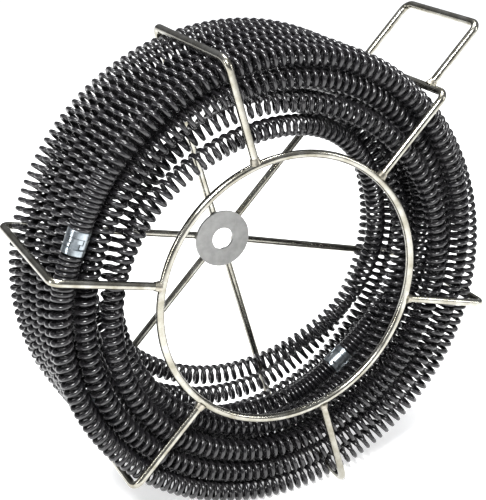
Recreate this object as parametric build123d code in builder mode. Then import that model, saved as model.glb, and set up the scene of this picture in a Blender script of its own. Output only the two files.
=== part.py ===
# Set of sectional drain-cleaning springs coiled in a welded wire carrier.
# Units are millimetres. The carrier axis is Y through the hub bore, the front faces -Y, +Z is up.
import math
import os

from build123d import *

os.makedirs("parts", exist_ok=True)

# ---------------------------------------------------------------- driving dimensions
# carrier
wire_r = 4.0            # half thickness of every carrier wire
bar_r = 250.0           # axis to the middle of the bars across the rim
depth = 163.4           # back spokes to front arms, middle to middle
spoke_y = 5.5           # back spokes lie behind the hub plate
front_y = spoke_y - depth
mid_y = spoke_y - depth / 2
ring_r = 141.0          # front ring, middle of the wire
bend_r = 10.0           # bends of struts and handle
spoke_start = 16.0      # inner ends of the back spokes
lean = 15.0             # the carrier rests turned, on one bar and on the coil
strut_angles = [120, 60, 359, 300, 240, 181]
handle_angle = 60
hub_r = 32.0
hub_bore_r = 12.5
hub_t = 3.0
handle_width = 128.0
handle_r = 332.0        # axis to the middle of the grip
handle_shift = 12.0     # the handle sits nearer the back

# weld beads
bead = [(1.2, 0), (6.2, 0), (3.9, 3.7)]     # beside a spoke: sideways, back from the plate
bead_length = 13.0
bead_start = spoke_start + 1.5
collar_foot_r = 5.8     # collars where a wire ends on another wire
collar_top_r = 4.5
collar_h = 6.0
ring_collar_r = ring_r + 2.5

# springs
spring_r = 11.0         # outside of the coiled wire
section_length = 4590.0
sections = 5
gap = 24.0              # coupling length showing between two sections
shank_r = 6.0
shank_length = 22.0
socket_r = 6.2          # room inside the spring

# lay of the springs in the carrier
row = 22.1              # spacing of rows across the carrier
layer = 22.3            # spacing of layers towards the axis
outer_r = 234.2
start_angle = 281.5
turns = 18.0
fine = 10               # degrees between the places where turns are kept apart
grow = 1.0152           # corners of the path stand outside the bent line
inset = 3.0             # a coupling lies on a chord, inside the circle
reach = 55.0            # coupling middle to the first corner of the path

# couplings, measured along the spring from the middle of the gap
male_end = -gap / 2
face = -5.0             # where the two halves meet
female_end = gap / 2
neck_w = 8.0            # tongue of the male half
neck_h = 5.0
head_w = 13.2
head_h = 4.3
neck_run = 21.0         # length of the tongue across the coupling
head_r = 10.7           # its rounded ends
slot_w = 9.6            # slot of the female half
slot_h = 4.4
tee_w = 14.8
tee_h = 5.5
edge = 0.8              # chamfer on the outer edges
hole_r = 1.9            # release hole
hole_at = 7.4
pin_r = 3.0
nose_r = 2.5
nose_tip = 0.6          # length and taper of the pin's tip
nose_hole_r = 2.7
nose_hole_depth = 2.8
pin_fit = 0.05
nose_end = 1.8
pin_step = 7.0
pin_back = 13.0
bore_end = 40.0         # beyond the open end of the shank
plug_at = 19.0
plug_h = 4.0
coil_wire_r = 0.3       # small spring behind the pin
coil_r = 2.2
coil_pitch = 1.06
coil_h = 5.3
coil_start = pin_back + 0.35
hole_turn = [-90, 60, 114, -41, 200, 20]     # way each release hole faces, from the front towards outside


low_end = (Align.CENTER, Align.CENTER, Align.MIN)
high_end = (Align.CENTER, Align.CENTER, Align.MAX)


def around(angle, radius, y):
    t = math.radians(angle - lean)
    return Vector(radius * math.cos(t), y, radius * math.sin(t))


def outward(angle):
    return around(angle, 1.0, 0.0)


# ---------------------------------------------------------------- hub plate and ring
with BuildPart(Plane.XZ) as hub_plate:
    Cylinder(hub_r, hub_t)
    Cylinder(hub_bore_r, hub_t, mode=Mode.SUBTRACT)
hub_plate.part.label = "hub_plate"
export_step(hub_plate.part, "parts/hub_plate.step")

with BuildPart(Plane.XZ.offset(-front_y)) as front_ring:
    Torus(ring_r, wire_r)
front_ring.part.label = "front_ring"
export_step(front_ring.part, "parts/front_ring.step")

# ---------------------------------------------------------------- six struts
strut_parts = []
for number, angle in enumerate(strut_angles, start=1):
    with BuildPart() as strut:
        with BuildLine() as line:
            FilletPolyline(
                around(angle, spoke_start, spoke_y),
                around(angle, bar_r, spoke_y),
                around(angle, bar_r, front_y),
                around(angle, ring_r + wire_r / 2, front_y),
                radius=bend_r,
            )
        with BuildSketch(Plane(origin=around(angle, spoke_start, spoke_y), z_dir=outward(angle))):
            Circle(wire_r)
        sweep()
        add(front_ring.part, mode=Mode.SUBTRACT)
    strut.part.label = f"strut_{number}"
    export_step(strut.part, f"parts/strut_{number}.step")
    strut_parts.append(strut.part)

# ---------------------------------------------------------------- carry handle
near_y = mid_y + handle_shift - handle_width / 2
far_y = mid_y + handle_shift + handle_width / 2
foot_r = bar_r + wire_r / 2
handle_bar = strut_parts[strut_angles.index(handle_angle)]
with BuildPart() as carry_handle:
    with BuildLine() as line:
        FilletPolyline(
            around(handle_angle, foot_r, near_y),
            around(handle_angle, handle_r, near_y),
            around(handle_angle, handle_r, far_y),
            around(handle_angle, foot_r, far_y),
            radius=bend_r,
        )
    with BuildSketch(Plane(origin=around(handle_angle, foot_r, near_y), z_dir=outward(handle_angle))):
        Circle(wire_r)
    sweep()
    add(handle_bar, mode=Mode.SUBTRACT)
carry_handle.part.label = "carry_handle"
export_step(carry_handle.part, "parts/carry_handle.step")

# ---------------------------------------------------------------- weld beads
with BuildPart() as hub_welds:
    for angle in strut_angles:
        side = Vector(0, 1, 0).cross(outward(angle))
        for way in (1, -1):
            foot = around(angle, bead_start, hub_t / 2)
            with BuildSketch(Plane(origin=foot, x_dir=side * way, z_dir=outward(angle) * way)):
                Polygon(*bead, align=None)
            extrude(amount=bead_length * way)
    for strut in strut_parts:
        add(strut, mode=Mode.SUBTRACT)
hub_welds.part.label = "hub_welds"
export_step(hub_welds.part, "parts/hub_welds.step")

with BuildPart() as ring_welds:
    for angle in strut_angles:
        with Locations(Plane(origin=around(angle, ring_collar_r, front_y), z_dir=outward(angle)).location):
            Cone(collar_foot_r, collar_top_r, collar_h, align=low_end)
    add(front_ring.part, mode=Mode.SUBTRACT)
    for strut in strut_parts:
        add(strut, mode=Mode.SUBTRACT)
ring_welds.part.label = "ring_welds"
export_step(ring_welds.part, "parts/ring_welds.step")

with BuildPart() as handle_welds:
    for y in (near_y, far_y):
        with Locations(Plane(origin=around(handle_angle, foot_r, y), z_dir=outward(handle_angle)).location):
            Cone(collar_foot_r, collar_top_r, collar_h, align=low_end)
    add(handle_bar, mode=Mode.SUBTRACT)
    add(carry_handle.part, mode=Mode.SUBTRACT)
handle_welds.part.label = "handle_welds"
export_step(handle_welds.part, "parts/handle_welds.step")

# ---------------------------------------------------------------- lay of the springs
# Each turn is given as (layer, row) at four angles going clockwise from the top:
# seven turns fill the outside from back to front, the rest lie loosely inside them.
keys = (100, 10, -80, -190)
lay = [
    [(0, 3), (0.1, 3), (0.25, 3), (0, 3)],
    [(0, 2), (0.1, 2), (0.25, 2), (0, 2)],
    [(0, 1), (0.1, 1), (0.25, 1), (0, 1)],
    [(0, 0), (0.1, 0), (0.25, 0), (0, 0)],
    [(0, -1), (0.1, -1), (0.25, -1), (0, -1)],
    [(0, -2), (0.1, -2), (0.1, -2), (0, -2)],
    [(0, -3), (1, -3), (1.1, -3), (1.5, -2.8)],
    [(1, -3), (1.3, -2), (1.9, -2.1), (1.2, -1.7)],
    [(1.1, -2), (2.0, -1), (2.7, -1.1), (1.3, -0.7)],
    [(1.1, -1), (2.4, 0), (2.9, 0), (1.3, 0.4)],
    [(1, 0), (1.2, 1), (1.4, 0.6), (1, 1.3)],
    [(1, 1), (1.1, 2), (1.8, 1.2), (1.1, 2.3)],
    [(1, 2), (1.1, 3), (1.2, 2), (1, 3)],
    [(1, 3), (2.0, 3), (2.2, 2.8), (1.9, 1.8)],
    [(2, 1), (2.8, -0.9), (3, -3), (2.6, -1.7)],
    [(2, -3), (2, -3), (2, -3), (1.9, -3)],
    [(2.9, -3), (2.9, 0.6), (3.0, 2.9), (2.7, 2.6)],
    [(2.9, 2), (2.9, 2), (2.9, 2), (2.9, 2)],
]
crowded = (0, 4870, 6340)       # degrees of travel where a coupling lies close over other turns
room_side = 22.15       # least spacing of turns that lie side by side
room_near = 22.4        # of the turns inside them
room_cross = 24.9       # of the innermost turns, which cross others at an angle
more_side = 1.4         # added where the turns are crowded
more_near = 3.5
rounds = 300            # of settling: loose, then firm, then stiff
count = int(turns * 360 / fine) + 1
per_turn = 360 // fine


def ease(t):
    t = min(max(t, 0.0), 1.0)
    return t * t * (3 - 2 * t)


def wanted(i):
    k, past = divmod(keys[0] - start_angle + i * fine, 360)
    k = int(k)
    here = lay[min(max(k, 0), len(lay) - 1)]
    after = lay[min(max(k + 1, 0), len(lay) - 1)]
    if k < 6:
        step = ease((past - 15 - (6 - k) * 9) / 80) if k >= 0 else 0
        loose = 0.5 - 0.5 * math.cos(math.radians(past))
        return (0.2 if k < 5 else 0.1) * loose, here[0][1] + (after[0][1] - here[0][1]) * step
    marks = [keys[0] - key for key in keys] + [360]
    places = here + [after[0]]
    n = max(m for m in range(len(keys)) if marks[m] <= past)
    s = ease((past - marks[n]) / (marks[n + 1] - marks[n]))
    return tuple(a + (b - a) * s for a, b in zip(places[n], places[n + 1]))


def settled():
    want = [(outer_r - a * layer, b * row) for a, b in map(wanted, range(count))]
    at = [list(p) for p in want]
    crossing = int((start_angle - 100 + 6 * 360 + 30) / fine)
    tight = [travel / fine for travel in crowded]
    for step in range(rounds):
        stiff = 0.5 if step < 0.7 * rounds else 0.12 if step < 0.88 * rounds else 0.02
        pull = 0.03 if step < 0.7 * rounds else 0.0
        for i in range(1, count - 1):
            for j in (0, 1):
                mean = (at[i - 1][j] + at[i + 1][j]) / 2
                at[i][j] += (mean - at[i][j]) * stiff
                at[i][j] += (want[i][j] - at[i][j]) * pull
        for c in range(per_turn):
            same = range(c, count, per_turn)
            for a in same:
                for b in same:
                    if b > a:
                        dr = at[b][0] - at[a][0]
                        dy = at[b][1] - at[a][1]
                        room = room_side if b < crossing else room_near
                        if b >= crossing + 6 * per_turn:
                            room = room_cross
                        if min(abs(n - p) for n in (a, b) for p in tight) < 3:
                            room += more_near if b >= crossing else more_side
                        apart = max(math.hypot(dr * 0.98, dy), 0.001)
                        push = max(room - apart, 0.0) / 2 / apart
                        at[a][0] -= dr * push
                        at[a][1] -= dy * push
                        at[b][0] += dr * push
                        at[b][1] += dy * push
            for a in same:
                at[a][0] = min(at[a][0], outer_r)
                at[a][1] = min(max(at[a][1], -3 * row), 3 * row)
    return at


rest = settled()


def laid(travel):
    """Radius and depth of the spring after it has gone this many degrees around."""
    i = min(int(travel / fine), count - 2)
    s = travel / fine - i
    return [a + (b - a) * s for a, b in zip(rest[i], rest[i + 1])]


def joint_plane(travel, hole_way):
    """Plane across the spring at a coupling: z along the spring, y the way the release hole faces."""
    radius, y = laid(travel)
    slope = (laid(travel + 12)[1] - laid(max(travel - 12, 0))[1]) / (12 + min(travel, 12))
    angle = start_angle - travel
    out = outward(angle)
    along = Vector(0, 1, 0).cross(out) + Vector(0, slope / math.radians(radius - inset), 0)
    front = Vector(0, -1, 0)
    t = math.radians(hole_way)
    hole = front * math.cos(t) + out * math.sin(t)
    along = along.normalized()
    return Plane(
        origin=around(angle, radius - inset, mid_y + y),
        x_dir=hole.cross(along),
        z_dir=along,
    )


def section_points(first, last):
    """Corners of the path of one section between the couplings at two places."""
    start = joint_plane(first, 0)
    stop = joint_plane(last, 0)
    from_angle = first + math.degrees(math.atan(reach / (laid(first)[0] - inset)))
    to_angle = last - math.degrees(math.atan(reach / (laid(last)[0] - inset)))
    steps = math.ceil((to_angle - from_angle) / 20)
    points = [start.origin + start.z_dir * female_end, start.origin + start.z_dir * reach]
    for n in range(1, steps):
        travel = from_angle + (to_angle - from_angle) * n / steps
        radius, y = laid(travel)
        points.append(around(start_angle - travel, radius * grow, mid_y + y))
    return points + [stop.origin - stop.z_dir * reach, stop.origin + stop.z_dir * male_end]


def bends(points):
    """Bend radius at every inner corner, and the length of the bent line."""
    runs = [(b - a).length for a, b in zip(points, points[1:])]
    length = sum(runs)
    runs[0] *= 1.7
    runs[-1] *= 1.7
    radii = []
    for n in range(1, len(points) - 1):
        turn = math.radians((points[n] - points[n - 1]).get_angle(points[n + 1] - points[n]))
        trim = 0.45 * min(runs[n - 1], runs[n])
        radii.append(trim / math.tan(turn / 2))
        length += radii[-1] * turn - 2 * trim
    return radii, length


# places of the couplings, from the free end, so that every section has its full length
places = [0.0]
for k in range(sections):
    low = places[-1] + 900.0
    high = min(places[-1] + 1700.0, (count - 1) * fine - 12.0)
    for _ in range(24):
        middle = (low + high) / 2
        if bends(section_points(places[-1], middle))[1] < section_length:
            low = middle
        else:
            high = middle
    places.append(low)
print("couplings at", [round((start_angle - p) % 360, 1) for p in places])

# ---------------------------------------------------------------- spring sections
for k in range(sections):
    points = section_points(places[k], places[k + 1])
    radii, length = bends(points)
    start = Plane(origin=points[0], z_dir=points[1] - points[0])
    stop = Plane(origin=points[-1], z_dir=points[-2] - points[-1])
    with BuildPart() as spring:
        with BuildLine() as line:
            FilletPolyline(*points, radius=radii)
        with BuildSketch(start):
            Circle(spring_r)
        sweep()
        for end in (start, stop):
            with BuildSketch(end):
                Circle(socket_r)
            extrude(amount=shank_length + 1, mode=Mode.SUBTRACT)
    print(
        "section", k + 1, "length", round(length), "smallest bend", round(min(radii)),
        "volume ratio", round(spring.part.volume / (math.pi * spring_r**2 * length), 4),
        "valid", spring.part.is_valid,
    )
    spring.part.label = f"spring_section_{k + 1}"
    export_step(spring.part, f"parts/spring_section_{k + 1}.step")

# ---------------------------------------------------------------- couplings
for k in range(sections):
    # female half with its locking pin at the start of the section
    place = joint_plane(places[k], hole_turn[k])
    with BuildPart(place) as female:
        with Locations((0, 0, face)):
            Cylinder(spring_r, female_end - face, align=low_end)
        chamfer(female.edges().filter_by(GeomType.CIRCLE), edge)
        with Locations((0, 0, female_end)):
            Cylinder(shank_r, shank_length, align=low_end)
        with Locations((0, 0, face)):
            Box(3 * spring_r, slot_w, slot_h, align=low_end, mode=Mode.SUBTRACT)
        with Locations((0, 0, face + slot_h)):
            Box(3 * spring_r, tee_w, tee_h, align=low_end, mode=Mode.SUBTRACT)
            Cylinder(nose_r + pin_fit, pin_back, align=low_end, mode=Mode.SUBTRACT)
        with Locations((0, 0, pin_step)):
            Cylinder(pin_r + pin_fit, bore_end - pin_step, align=low_end, mode=Mode.SUBTRACT)
        with Locations(Location((0, 0, hole_at), (-90, 0, 0))):
            Cylinder(hole_r, 2 * spring_r, align=low_end, mode=Mode.SUBTRACT)
    female.part.label = f"female_coupling_{k + 1}"
    export_step(female.part, f"parts/female_coupling_{k + 1}.step")

    with BuildPart(place) as pin:
        with Locations((0, 0, nose_end)):
            Cone(nose_r - nose_tip, nose_r, nose_tip, align=low_end)
        with Locations((0, 0, nose_end + nose_tip)):
            Cylinder(nose_r, pin_step - nose_end - nose_tip, align=low_end)
        with Locations((0, 0, pin_step)):
            Cylinder(pin_r, pin_back - pin_step, align=low_end)
    pin.part.label = f"locking_pin_{k + 1}"
    export_step(pin.part, f"parts/locking_pin_{k + 1}.step")

    with BuildPart() as pin_spring:
        with BuildLine() as line:
            Helix(coil_pitch, coil_h, coil_r, center=place.offset(coil_start).origin, direction=place.z_dir)
        with BuildSketch(Plane(origin=line.line @ 0, z_dir=line.line % 0)):
            Circle(coil_wire_r)
        sweep(is_frenet=True)
    pin_spring.part.label = f"pin_spring_{k + 1}"
    export_step(pin_spring.part, f"parts/pin_spring_{k + 1}.step")

    with BuildPart(place) as plug:
        with Locations((0, 0, plug_at)):
            Cylinder(pin_r + pin_fit, plug_h, align=low_end)
    plug.part.label = f"pin_plug_{k + 1}"
    export_step(plug.part, f"parts/pin_plug_{k + 1}.step")

    # male half at the end of the section
    place = joint_plane(places[k + 1], hole_turn[k + 1])
    with BuildPart(place) as male:
        with Locations((0, 0, male_end)):
            Cylinder(spring_r, face - male_end, align=low_end)
        chamfer(male.edges().filter_by(GeomType.CIRCLE), edge)
        with Locations((0, 0, male_end - shank_length)):
            Cylinder(shank_r, shank_length, align=low_end)
        with BuildSketch(place.offset(face)):
            Rectangle(neck_run, neck_w)
        extrude(amount=neck_h)
        with BuildSketch(place.offset(face + neck_h)):
            Rectangle(neck_run, head_w)
            Circle(head_r, mode=Mode.INTERSECT)
        extrude(amount=head_h)
        with Locations((0, 0, face + neck_h + head_h)):
            Cylinder(nose_hole_r, nose_hole_depth, align=high_end, mode=Mode.SUBTRACT)
    male.part.label = f"male_coupling_{k + 1}"
    export_step(male.part, f"parts/male_coupling_{k + 1}.step")
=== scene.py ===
import math

import bpy
import numpy as np
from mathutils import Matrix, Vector


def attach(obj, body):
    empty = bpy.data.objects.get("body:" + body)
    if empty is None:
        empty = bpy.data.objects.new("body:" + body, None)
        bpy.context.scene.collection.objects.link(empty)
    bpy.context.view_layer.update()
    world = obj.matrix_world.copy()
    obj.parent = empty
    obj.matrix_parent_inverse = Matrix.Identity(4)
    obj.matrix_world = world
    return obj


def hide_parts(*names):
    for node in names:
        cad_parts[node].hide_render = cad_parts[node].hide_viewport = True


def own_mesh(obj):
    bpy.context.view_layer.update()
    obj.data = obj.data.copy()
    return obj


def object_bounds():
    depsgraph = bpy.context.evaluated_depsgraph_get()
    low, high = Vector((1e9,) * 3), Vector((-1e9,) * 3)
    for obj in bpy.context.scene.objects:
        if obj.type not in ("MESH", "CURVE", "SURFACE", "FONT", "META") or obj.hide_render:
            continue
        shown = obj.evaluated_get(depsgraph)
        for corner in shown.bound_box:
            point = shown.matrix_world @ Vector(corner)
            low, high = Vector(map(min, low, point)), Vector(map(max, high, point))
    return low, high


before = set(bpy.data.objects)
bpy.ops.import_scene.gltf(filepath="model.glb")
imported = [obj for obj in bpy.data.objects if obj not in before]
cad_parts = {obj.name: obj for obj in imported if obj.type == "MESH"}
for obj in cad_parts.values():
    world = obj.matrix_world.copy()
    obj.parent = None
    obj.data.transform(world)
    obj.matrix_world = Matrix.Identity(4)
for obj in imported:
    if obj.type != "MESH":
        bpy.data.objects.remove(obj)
cad_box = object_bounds()
MM = 0.001

# ---------------------------------------------------------------- camera
CAMERA_AT = (-0.5134, -1.0977, 0.4916)
CAMERA_TURN = (67.32, 1.06, -26.58)     # degrees
CAMERA_LENS = 85.15
SENSOR_WIDTH = 36


def make_camera():
    data = bpy.data.cameras.new("camera")
    data.lens = CAMERA_LENS
    data.sensor_width = SENSOR_WIDTH
    camera = bpy.data.objects.new("camera", data)
    camera.location = CAMERA_AT
    camera.rotation_euler = [math.radians(a) for a in CAMERA_TURN]
    bpy.context.collection.objects.link(camera)
    bpy.context.scene.camera = camera


make_camera()

# ---------------------------------------------------------------- lay of the springs
# Millimetres, as the part is drawn: radius from the carrier's axis and depth across it.
spoke_y = 5.5
depth = 163.4
mid_y = spoke_y - depth / 2
lean = 15.0             # the carrier rests turned, on one bar and on the coil
spring_r = 11.0         # outside of the coiled wire
wire_r = 2.4            # half thickness of the spring wire
section_length = 4590.0
sections = 5
gap = 24.0              # coupling length showing between two sections
row = 22.1              # spacing of rows across the carrier
layer = 22.3            # spacing of layers towards the axis
outer_r = 234.2
start_angle = 281.5
turns = 18.0
fine = 10               # degrees between the places where turns are kept apart
grow = 1.0152           # corners of the path stand outside the bent line
inset = 3.0             # a coupling lies on a chord, inside the circle
reach = 55.0            # coupling middle to the first corner of the path
# Each turn is given as (layer, row) at four angles going clockwise from the top:
# seven turns fill the outside from back to front, the rest lie loosely inside them.
keys = (100, 10, -80, -190)
lay = [
    [(0, 3), (0.1, 3), (0.25, 3), (0, 3)],
    [(0, 2), (0.1, 2), (0.25, 2), (0, 2)],
    [(0, 1), (0.1, 1), (0.25, 1), (0, 1)],
    [(0, 0), (0.1, 0), (0.25, 0), (0, 0)],
    [(0, -1), (0.1, -1), (0.25, -1), (0, -1)],
    [(0, -2), (0.1, -2), (0.1, -2), (0, -2)],
    [(0, -3), (1, -3), (1.1, -3), (1.5, -2.8)],
    [(1, -3), (1.3, -2), (1.9, -2.1), (1.2, -1.7)],
    [(1.1, -2), (2.0, -1), (2.7, -1.1), (1.3, -0.7)],
    [(1.1, -1), (2.4, 0), (2.9, 0), (1.3, 0.4)],
    [(1, 0), (1.2, 1), (1.4, 0.6), (1, 1.3)],
    [(1, 1), (1.1, 2), (1.8, 1.2), (1.1, 2.3)],
    [(1, 2), (1.1, 3), (1.2, 2), (1, 3)],
    [(1, 3), (2.0, 3), (2.2, 2.8), (1.9, 1.8)],
    [(2, 1), (2.8, -0.9), (3, -3), (2.6, -1.7)],
    [(2, -3), (2, -3), (2, -3), (1.9, -3)],
    [(2.9, -3), (2.9, 0.6), (3.0, 2.9), (2.7, 2.6)],
    [(2.9, 2), (2.9, 2), (2.9, 2), (2.9, 2)],
]
crowded = (0, 4870, 6340)       # degrees of travel where a coupling lies close over other turns
room_side = 22.15       # least spacing of turns that lie side by side
room_near = 22.4        # of the turns inside them
room_cross = 24.9       # of the innermost turns, which cross others at an angle
more_side = 1.4         # added where the turns are crowded
more_near = 3.5
rounds = 300            # of settling: loose, then firm, then stiff
count = int(turns * 360 / fine) + 1
per_turn = 360 // fine


def ease(t):
    """Smooth step from 0 to 1."""
    t = min(max(t, 0.0), 1.0)
    return t * t * (3 - 2 * t)


def wanted(i):
    """Layer and row that the spring should reach at this step of its travel."""
    k, past = divmod(keys[0] - start_angle + i * fine, 360)
    k = int(k)
    here = lay[min(max(k, 0), len(lay) - 1)]
    after = lay[min(max(k + 1, 0), len(lay) - 1)]
    if k < 6:
        step = ease((past - 15 - (6 - k) * 9) / 80) if k >= 0 else 0
        loose = 0.5 - 0.5 * math.cos(math.radians(past))
        return (0.2 if k < 5 else 0.1) * loose, here[0][1] + (after[0][1] - here[0][1]) * step
    marks = [keys[0] - key for key in keys] + [360]
    places = here + [after[0]]
    n = max(m for m in range(len(keys)) if marks[m] <= past)
    s = ease((past - marks[n]) / (marks[n + 1] - marks[n]))
    return tuple(a + (b - a) * s for a, b in zip(places[n], places[n + 1]))


def settled():
    """Radius and depth at every step, once the turns that lie too close have pushed each other apart."""
    want = [(outer_r - a * layer, b * row) for a, b in map(wanted, range(count))]
    at = [list(p) for p in want]
    crossing = int((start_angle - 100 + 6 * 360 + 30) / fine)
    tight = [travel / fine for travel in crowded]
    for step in range(rounds):
        stiff = 0.5 if step < 0.7 * rounds else 0.12 if step < 0.88 * rounds else 0.02
        pull = 0.03 if step < 0.7 * rounds else 0.0
        for i in range(1, count - 1):
            for j in (0, 1):
                mean = (at[i - 1][j] + at[i + 1][j]) / 2
                at[i][j] += (mean - at[i][j]) * stiff
                at[i][j] += (want[i][j] - at[i][j]) * pull
        for c in range(per_turn):
            same = range(c, count, per_turn)
            for a in same:
                for b in same:
                    if b > a:
                        dr = at[b][0] - at[a][0]
                        dy = at[b][1] - at[a][1]
                        room = room_side if b < crossing else room_near
                        if b >= crossing + 6 * per_turn:
                            room = room_cross
                        if min(abs(n - p) for n in (a, b) for p in tight) < 3:
                            room += more_near if b >= crossing else more_side
                        apart = max(math.hypot(dr * 0.98, dy), 0.001)
                        push = max(room - apart, 0.0) / 2 / apart
                        at[a][0] -= dr * push
                        at[a][1] -= dy * push
                        at[b][0] += dr * push
                        at[b][1] += dy * push
            for a in same:
                at[a][0] = min(at[a][0], outer_r)
                at[a][1] = min(max(at[a][1], -3 * row), 3 * row)
    return at


rest = settled()


def around(angle, radius, y):
    """A point at this angle about the carrier's axis."""
    t = math.radians(angle - lean)
    return Vector((radius * math.cos(t), y, radius * math.sin(t)))


def laid(travel):
    """Radius and depth of the spring after it has gone this many degrees around."""
    i = min(int(travel / fine), count - 2)
    s = travel / fine - i
    return [a + (b - a) * s for a, b in zip(rest[i], rest[i + 1])]


def joint_line(travel):
    """Middle of a coupling and its direction along the spring."""
    radius, y = laid(travel)
    slope = (laid(travel + 12)[1] - laid(max(travel - 12, 0))[1]) / (12 + min(travel, 12))
    angle = start_angle - travel
    out = around(angle, 1.0, 0.0)
    along = Vector((0, 1, 0)).cross(out) + Vector((0, slope / math.radians(radius - inset), 0))
    return around(angle, radius - inset, mid_y + y), along.normalized()


def section_points(first, last):
    """Corners of the path of one section between the couplings at two places."""
    start, start_way = joint_line(first)
    stop, stop_way = joint_line(last)
    from_angle = first + math.degrees(math.atan(reach / (laid(first)[0] - inset)))
    to_angle = last - math.degrees(math.atan(reach / (laid(last)[0] - inset)))
    steps = math.ceil((to_angle - from_angle) / 20)
    points = [start + start_way * gap / 2, start + start_way * reach]
    for n in range(1, steps):
        travel = from_angle + (to_angle - from_angle) * n / steps
        radius, y = laid(travel)
        points.append(around(start_angle - travel, radius * grow, mid_y + y))
    return points + [stop - stop_way * reach, stop - stop_way * gap / 2]


def bends(points):
    """Bend radius at every inner corner, and the length of the bent line."""
    runs = [(b - a).length for a, b in zip(points, points[1:])]
    length = sum(runs)
    runs[0] *= 1.7
    runs[-1] *= 1.7
    radii = []
    for n in range(1, len(points) - 1):
        turn = (points[n] - points[n - 1]).angle(points[n + 1] - points[n])
        trim = 0.45 * min(runs[n - 1], runs[n])
        radii.append(trim / math.tan(turn / 2))
        length += radii[-1] * turn - 2 * trim
    return radii, length


# places of the couplings, from the free end, so that every section has its full length
places = [0.0]
for k in range(sections):
    low = places[-1] + 900.0
    high = min(places[-1] + 1700.0, (count - 1) * fine - 12.0)
    for _ in range(24):
        middle = (low + high) / 2
        if bends(section_points(places[-1], middle))[1] < section_length:
            low = middle
        else:
            high = middle
    places.append(low)


def spline_line(points, name):
    """Points along the smooth curve that has the route's corners as its control points, in metres."""
    curve = bpy.data.curves.new(name, "CURVE")
    curve.dimensions = "3D"
    curve.resolution_u = 12
    spline = curve.splines.new("NURBS")
    spline.points.add(len(points) - 1)
    for point, corner in zip(spline.points, points):
        point.co = (*(corner * MM), 1)
    spline.order_u = 3
    spline.use_endpoint_u = True
    holder = bpy.data.objects.new(name, curve)
    bpy.context.collection.objects.link(holder)
    bpy.context.view_layer.update()
    mesh = bpy.data.meshes.new_from_object(holder.evaluated_get(bpy.context.evaluated_depsgraph_get()))
    line = np.array([v.co for v in mesh.vertices])
    bpy.data.objects.remove(holder)
    bpy.data.curves.remove(curve)
    bpy.data.meshes.remove(mesh)
    return line


# ---------------------------------------------------------------- wound wire
OPEN_PITCH = 9.0        # from turn to turn
CLOSE_PITCH = 4.9
CLOSE_AT_START = 54.0   # length wound close beside each coupling
CLOSE_AT_END = 38.0
OPENING = 14.0          # length over which the pitch changes
UNEVEN = 0.018          # scatter of the pitch
UNEVEN_PLACES = 160
LINE_STEP = 2.0
STEPS = 20              # places along each turn of the wire
SIDES = 9               # corners around the wire
CORNERS = 4             # of each face


def smooth_step(x, low, high):
    t = np.clip((x - low) / (high - low), 0, 1)
    return t * t * (3 - 2 * t)


def unit(vectors):
    return vectors / np.linalg.norm(vectors, axis=1)[:, None]


def resampled(values, old_at, new_at):
    return np.stack([np.interp(new_at, old_at, values[:, j]) for j in range(3)], 1)


def travelled(points):
    """Distance gone along a line at each of its points."""
    return np.concatenate([[0], np.cumsum(np.linalg.norm(np.diff(points, axis=0), axis=1))])


def frames(line):
    """Two directions across a line that don't twist."""
    along = unit(np.gradient(line, axis=0))
    side = np.zeros_like(line)
    current = np.cross(along[0], [0.0, 1.0, 0.0])
    for i, way in enumerate(along):
        current = current - way * (current @ way)
        current /= np.linalg.norm(current)
        side[i] = current
    return side, np.cross(along, side)


def turn_pitch(at, length, name):
    """Distance from turn to turn along a section: close at its ends, open and a little uneven between."""
    opened = smooth_step(at, CLOSE_AT_START * MM, (CLOSE_AT_START + OPENING) * MM)
    opened *= 1 - smooth_step(at, length - (CLOSE_AT_END + OPENING) * MM, length - CLOSE_AT_END * MM)
    random = np.random.default_rng(len(name) + int(name[-1]))
    scatter = random.normal(0, UNEVEN, UNEVEN_PLACES)
    uneven = np.interp(at, np.linspace(0, length, UNEVEN_PLACES), scatter)
    return (CLOSE_PITCH + (OPEN_PITCH - CLOSE_PITCH) * opened) * (1 + uneven * opened) * MM


def wire_path(line, name):
    """The wire's middle line, wound right-hand about a route, and its outward directions."""
    at = travelled(line)
    length = at[-1]
    fine_at = np.linspace(0, length, int(length / (LINE_STEP * MM)))
    centre = resampled(line, at, fine_at)
    side, other = frames(centre)
    pitch = turn_pitch(fine_at, length, name)
    spin = np.concatenate([[0], np.cumsum(2 * math.pi * np.diff(fine_at) / pitch[1:])])
    angles = np.arange(0, spin[-1], 2 * math.pi / STEPS)
    where = np.interp(angles, spin, fine_at)
    centre, side, other = [resampled(values, fine_at, where) for values in (centre, side, other)]
    out = np.cos(angles)[:, None] * side + np.sin(angles)[:, None] * other
    return centre + out * (spring_r - wire_r) * MM, out


def wire_mesh(wire, out, name):
    """Round wire along its middle line, closed at both ends."""
    along = unit(np.gradient(wire, axis=0))
    out = unit(out - along * np.sum(out * along, axis=1)[:, None])
    across = np.cross(along, out)
    ring = np.linspace(0, 2 * math.pi, SIDES, endpoint=False)
    offset = out[:, None] * np.cos(ring)[None, :, None] + across[:, None] * np.sin(ring)[None, :, None]
    vertices = (wire[:, None] + offset * wire_r * MM).reshape(-1, 3)
    index = np.arange(len(vertices)).reshape(-1, SIDES)
    after = np.roll(index, -1, axis=1)
    quads = np.stack([index[:-1], after[:-1], after[1:], index[1:]], -1).reshape(-1, CORNERS)
    caps = [index[0][::-1].tolist(), index[-1].tolist()]
    mesh = bpy.data.meshes.new(name)
    mesh.from_pydata(vertices.tolist(), [], quads.tolist() + caps)
    mesh.polygons.foreach_set("use_smooth", [True] * len(mesh.polygons))
    return mesh, len(quads)


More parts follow.
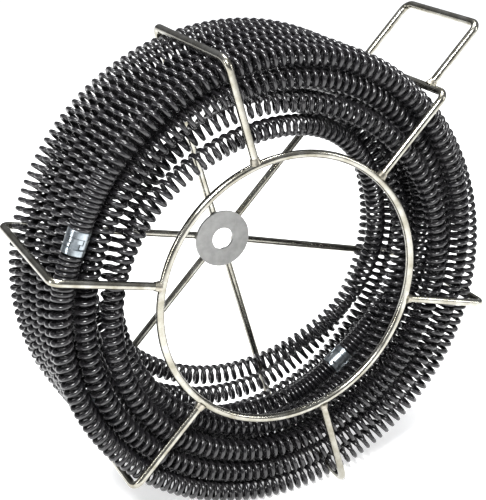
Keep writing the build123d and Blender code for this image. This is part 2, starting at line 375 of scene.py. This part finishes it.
def add_wire_uv(mesh, wire, quads):
    """U runs along the wire in metres, V goes once around it."""
    uv = mesh.uv_layers.new(name="wire")
    loops = np.zeros(len(mesh.loops), dtype=np.int32)
    mesh.loops.foreach_get("vertex_index", loops)
    u = travelled(wire)[loops // SIDES]
    v = (loops % SIDES) / SIDES
    number = np.arange(len(loops))
    second_half = (number % CORNERS == 1) | (number % CORNERS == 2)
    v = np.where((number < quads * CORNERS) & (v == 0) & second_half, 1.0, v)
    uv.data.foreach_set("uv", np.stack([u, v], 1).ravel())


def wound_wire(line, name):
    """A right-hand spring of round wire along a line, wound close beside its couplings."""
    wire, out = wire_path(line, name)
    mesh, quads = wire_mesh(wire, out, name)
    add_wire_uv(mesh, wire, quads)
    mesh.update()
    spring = bpy.data.objects.new(name, mesh)
    bpy.context.collection.objects.link(spring)
    return spring


springs = []
for k in range(sections):
    corners = section_points(places[k], places[k + 1])
    centre_line = spline_line(corners, f"route_{k + 1}")
    spring = wound_wire(centre_line, f"spring_{k + 1}")
    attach(spring, "springs")
    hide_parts(f"spring_section_{k + 1}")
    springs.append(spring)


pin_springs = []
for k in range(sections):
    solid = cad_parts[f"pin_spring_{k + 1}"]
    small = bpy.data.objects.new(f"small_spring_{k + 1}", solid.data.copy())
    bpy.context.collection.objects.link(small)
    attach(small, "springs")
    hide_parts(f"pin_spring_{k + 1}")
    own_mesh(small)
    pin_springs.append(small)


# ---------------------------------------------------------------- materials
def new_material(name):
    """A new material with its nodes, links and shader."""
    material = bpy.data.materials.new(name)
    material.use_nodes = True
    nodes = material.node_tree.nodes
    return material, nodes, material.node_tree.links, nodes["Principled BSDF"]


def node(nodes, kind, **values):
    """A new node with these settings and input values."""
    made = nodes.new(kind)
    for key, value in values.items():
        if hasattr(made, key):
            setattr(made, key, value)
        else:
            made.inputs[key.replace("_", " ")].default_value = value
    return made


def ramp(nodes, stops):
    """A colour ramp through (place, colour) stops."""
    made = nodes.new("ShaderNodeValToRGB")
    elements = made.color_ramp.elements
    while len(elements) < len(stops):
        elements.new(0.5)
    for element, (place, colour) in zip(elements, stops):
        element.position = place
        element.color = (*colour, 1)
    return made


def finish_surface(parts, gloss, low, high, relief, strength, distance):
    """Roughness between low and high follows one texture, and fine relief follows another."""
    nodes, links, shader = parts
    rough = nodes.new("ShaderNodeMapRange")
    rough.inputs["To Min"].default_value = low
    rough.inputs["To Max"].default_value = high
    links.new(gloss.outputs["Fac"], rough.inputs["Value"])
    links.new(rough.outputs["Result"], shader.inputs["Roughness"])
    bump = node(nodes, "ShaderNodeBump", Strength=strength, Distance=distance)
    links.new(relief.outputs["Fac"], bump.inputs["Height"])
    links.new(bump.outputs["Normal"], shader.inputs["Normal"])


def spring_material():
    """Dark spring wire, quenched in oils and tempered: near black, drawn lines along the wire, dull
    brownish patches.
    """
    material, nodes, links, shader = new_material("spring_wire")
    place = nodes.new("ShaderNodeTexCoord")
    uv = node(nodes, "ShaderNodeUVMap", uv_map="wire")
    stretch = nodes.new("ShaderNodeMapping")
    stretch.inputs["Scale"].default_value = (40, 9, 1)
    links.new(uv.outputs["UV"], stretch.inputs["Vector"])
    lines = node(nodes, "ShaderNodeTexNoise", Scale=1.0, Detail=5.0, Roughness=0.7)
    links.new(stretch.outputs["Vector"], lines.inputs["Vector"])
    patches = node(nodes, "ShaderNodeTexNoise", Scale=38.0, Detail=4.0, Roughness=0.6)
    links.new(place.outputs["Object"], patches.inputs["Vector"])
    colour = ramp(nodes, [(0.3, (0.004, 0.004, 0.005)), (0.72, (0.014, 0.013, 0.014))])
    links.new(patches.outputs["Fac"], colour.inputs["Fac"])
    links.new(colour.outputs["Color"], shader.inputs["Base Color"])
    finish_surface((nodes, links, shader), lines, 0.19, 0.33, lines, 0.05, 0.0001)
    shader.inputs["Metallic"].default_value = 0.0
    shader.inputs["Specular IOR Level"].default_value = 0.55
    return material


def plated_material(name, light, dark, low_rough, high_rough, scale=55.0):
    """Zinc-plated steel with a faint straw tint, cloudy patches and fine handling marks."""
    material, nodes, links, shader = new_material(name)
    place = nodes.new("ShaderNodeTexCoord")
    clouds = node(nodes, "ShaderNodeTexNoise", Scale=scale, Detail=5.0, Roughness=0.62)
    links.new(place.outputs["Object"], clouds.inputs["Vector"])
    colour = ramp(nodes, [(0.32, dark), (0.68, light)])
    links.new(clouds.outputs["Fac"], colour.inputs["Fac"])
    links.new(colour.outputs["Color"], shader.inputs["Base Color"])
    marks = node(nodes, "ShaderNodeTexNoise", Scale=scale * 14, Detail=6.0, Roughness=0.75)
    links.new(place.outputs["Object"], marks.inputs["Vector"])
    finish_surface((nodes, links, shader), clouds, low_rough, high_rough, marks, 0.08, 0.0002)
    shader.inputs["Metallic"].default_value = 1.0
    return material


PAINTED_SHADE_UNDER = 10.0      # distance from the coupling's axis: painted shade, near black, inside the slot and hole
# the painted shade fades to the steel colour by this distance from the axis
PAINTED_SHADE_GONE_OVER = 10.4
RINGS_PER_METRE = 2600


def outside_of_painted_shade(nodes, links, position, place, way):
    """1 on the outside of a coupling and 0 in its slot and hole, where shade is painted, from the
    distance to its axis.
    """
    from_middle = node(nodes, "ShaderNodeVectorMath", operation="SUBTRACT")
    from_middle.inputs[1].default_value = place * MM
    links.new(position.outputs["Object"], from_middle.inputs[0])
    across = node(nodes, "ShaderNodeVectorMath", operation="CROSS_PRODUCT")
    across.inputs[1].default_value = way
    links.new(from_middle.outputs["Vector"], across.inputs[0])
    distance = node(nodes, "ShaderNodeVectorMath", operation="LENGTH")
    links.new(across.outputs["Vector"], distance.inputs[0])
    outside = nodes.new("ShaderNodeMapRange")
    outside.inputs["From Min"].default_value = PAINTED_SHADE_UNDER * MM
    outside.inputs["From Max"].default_value = PAINTED_SHADE_GONE_OVER * MM
    links.new(distance.outputs["Value"], outside.inputs["Value"])
    return outside


def coupling_material(number, travel):
    """Turned steel: fine rings about the coupling's own axis, and painted shade, near black, in its slot
    and hole.
    """
    material, nodes, links, shader = new_material(f"coupling_steel_{number}")
    place, way = joint_line(travel)
    position = nodes.new("ShaderNodeTexCoord")
    along = node(nodes, "ShaderNodeVectorMath", operation="DOT_PRODUCT")
    along.inputs[1].default_value = way
    links.new(position.outputs["Object"], along.inputs[0])
    scaled = node(nodes, "ShaderNodeMath", operation="MULTIPLY")
    scaled.inputs[1].default_value = RINGS_PER_METRE
    links.new(along.outputs["Value"], scaled.inputs[0])
    rings = node(nodes, "ShaderNodeTexNoise", noise_dimensions="1D", Scale=1.0, Detail=4.0)
    links.new(scaled.outputs["Value"], rings.inputs["W"])
    wear = node(nodes, "ShaderNodeTexNoise", Scale=120.0, Detail=5.0)
    links.new(position.outputs["Object"], wear.inputs["Vector"])
    colour = ramp(nodes, [(0.3, (0.20, 0.23, 0.25)), (0.7, (0.42, 0.46, 0.49))])
    links.new(wear.outputs["Fac"], colour.inputs["Fac"])
    outside = outside_of_painted_shade(nodes, links, position, place, way)
    # painted shade: the slot and hole are coloured near black, and the outside keeps the steel colour
    painted_shade_mix = node(nodes, "ShaderNodeMix", data_type="RGBA")
    factor, painted_shade_colour, steel = painted_shade_mix.inputs[0], painted_shade_mix.inputs[6], painted_shade_mix.inputs[7]
    painted_shade_colour.default_value = (0.008, 0.008, 0.009, 1)
    links.new(outside.outputs["Result"], factor)
    links.new(colour.outputs["Color"], steel)
    links.new(painted_shade_mix.outputs[2], shader.inputs["Base Color"])
    finish_surface((nodes, links, shader), rings, 0.2, 0.38, rings, 0.1, 0.0001)
    shader.inputs["Metallic"].default_value = 1.0
    return material


def paint(name, material):
    """Gives a CAD node, by name, or a new piece its only material."""
    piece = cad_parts[name] if isinstance(name, str) else name
    piece.data.materials.clear()
    piece.data.materials.append(material)


wire = plated_material("plated_wire", (0.43, 0.425, 0.385), (0.21, 0.195, 0.15), 0.16, 0.3)
plate = plated_material("hub_plate", (0.36, 0.36, 0.35), (0.25, 0.25, 0.245), 0.42, 0.6, 90.0)
weld = plated_material("weld_metal", (0.42, 0.40, 0.34), (0.22, 0.20, 0.16), 0.28, 0.45, 300.0)
pins = plated_material("pin_steel", (0.66, 0.67, 0.68), (0.45, 0.46, 0.47), 0.25, 0.4, 200.0)
dark = spring_material()
for name in ["front_ring", "carry_handle"] + [f"strut_{n}" for n in range(1, 7)]:
    paint(name, wire)
paint("hub_plate", plate)
for name in ("hub_welds", "ring_welds", "handle_welds"):
    paint(name, weld)
for k in range(sections):
    paint(springs[k], dark)
    paint(f"female_coupling_{k + 1}", coupling_material(2 * k, places[k]))
    paint(f"male_coupling_{k + 1}", coupling_material(2 * k + 1, places[k + 1]))
    paint(pin_springs[k], pins)
    for name in ("locking_pin", "pin_plug"):
        paint(f"{name}_{k + 1}", pins)


# ---------------------------------------------------------------- floor and lights
FLOOR_HALF = 6.0
FLOOR_GLOW = 0.55       # keeps the shadow pale
MIDDLE = (0, -0.08, 0)


def make_floor():
    """A plain white floor under the lowest point of the object."""
    low = cad_box[0][2]
    corners = [(x * FLOOR_HALF, y * FLOOR_HALF, low) for x, y in ((-1, -1), (1, -1), (1, 1), (-1, 1))]
    mesh = bpy.data.meshes.new("floor")
    mesh.from_pydata(corners, [], [(0, 1, 2, 3)])
    floor = bpy.data.objects.new("floor", mesh)
    bpy.context.collection.objects.link(floor)
    material, _, _, shader = new_material("pale_floor")
    shader.inputs["Base Color"].default_value = (0.9, 0.9, 0.9, 1)
    shader.inputs["Roughness"].default_value = 0.9
    shader.inputs["Emission Color"].default_value = (1, 1, 1, 1)
    shader.inputs["Emission Strength"].default_value = FLOOR_GLOW
    mesh.materials.append(material)


def area_light(name, place, size, power, aim=MIDDLE):
    """A soft rectangular lamp; size is its width and height in metres, power is in watts."""
    data = bpy.data.lights.new(name, "AREA")
    data.shape = "RECTANGLE"
    data.size, data.size_y = size
    data.energy = power
    light = bpy.data.objects.new(name, data)
    light.location = place
    light.rotation_euler = (Vector(aim) - Vector(place)).to_track_quat("-Z", "Y").to_euler()
    bpy.context.collection.objects.link(light)


def make_world():
    """Dim soft sky light, and white behind the object."""
    world = bpy.data.worlds.new("studio")
    world.use_nodes = True
    nodes = world.node_tree.nodes
    links = world.node_tree.links
    light = nodes["Background"]
    direction = nodes.new("ShaderNodeTexCoord")
    split = nodes.new("ShaderNodeSeparateXYZ")
    links.new(direction.outputs["Generated"], split.inputs["Vector"])
    sky = ramp(nodes, [(0.0, (0.10, 0.10, 0.11)), (1.0, (0.42, 0.43, 0.45))])
    links.new(split.outputs["Z"], sky.inputs["Fac"])
    links.new(sky.outputs["Color"], light.inputs["Color"])
    behind = nodes.new("ShaderNodeBackground")
    behind.inputs["Color"].default_value = (1, 1, 1, 1)
    seen = nodes.new("ShaderNodeLightPath")
    mix = nodes.new("ShaderNodeMixShader")
    links.new(seen.outputs["Is Camera Ray"], mix.inputs["Fac"])
    links.new(light.outputs["Background"], mix.inputs[1])
    links.new(behind.outputs["Background"], mix.inputs[2])
    links.new(mix.outputs["Shader"], nodes["World Output"].inputs["Surface"])
    bpy.context.scene.world = world


make_floor()
make_world()
area_light("key", (-0.9, -1.4, 1.7), (0.45, 0.45), 85)
area_light("top", (0.2, 0.2, 2.0), (1.0, 0.3), 60, aim=(0, -0.05, 0))
area_light("left", (-1.8, -0.3, 0.5), (0.15, 1.0), 10)
area_light("right", (1.5, -1.2, 0.7), (0.15, 0.8), 10)
bpy.context.scene.view_settings.view_transform = "Standard"
